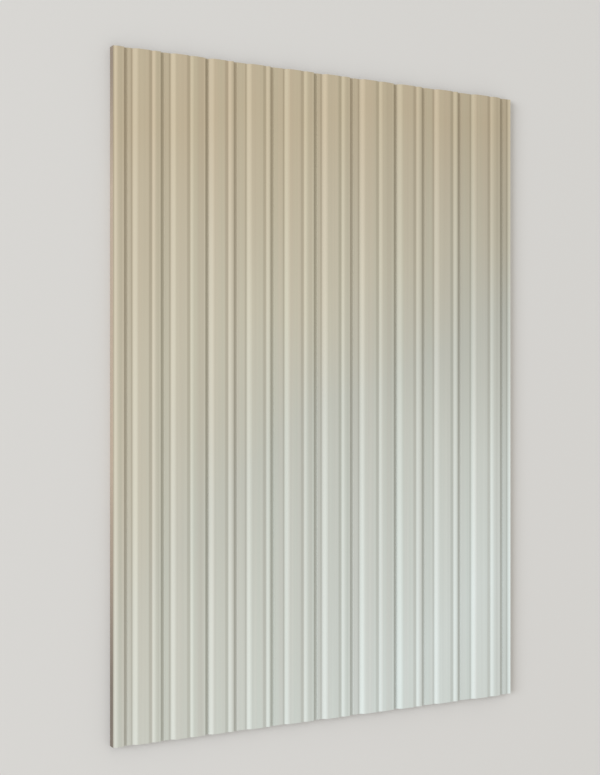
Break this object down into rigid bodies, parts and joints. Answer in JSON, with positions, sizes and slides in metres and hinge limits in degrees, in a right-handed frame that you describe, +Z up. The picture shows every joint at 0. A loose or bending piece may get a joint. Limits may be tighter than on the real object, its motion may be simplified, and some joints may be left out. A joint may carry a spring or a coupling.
{
  "type": "decorative laminate sheet",
  "caption": "Flat sample sheet of fluted decorative laminate: rounded ribs with sunk quirk lines run its length over a plain flat back for gluing to a board.",
  "frame": {"origin": "middle of the flat back face, which lies on the floor", "axes": "+X across the ribs, +Y along the ribs towards the head of the sheet, +Z up out of the decorative face"},
  "size_m": [0.21, 0.297, 0.004],
  "materials": {
    "laminate": "satin ivory, beige at one end and pale mint at the other"
  },
  "bodies": {
    "root": {"laminate_sheet": "laminate"}
  },
  "joints": []
}
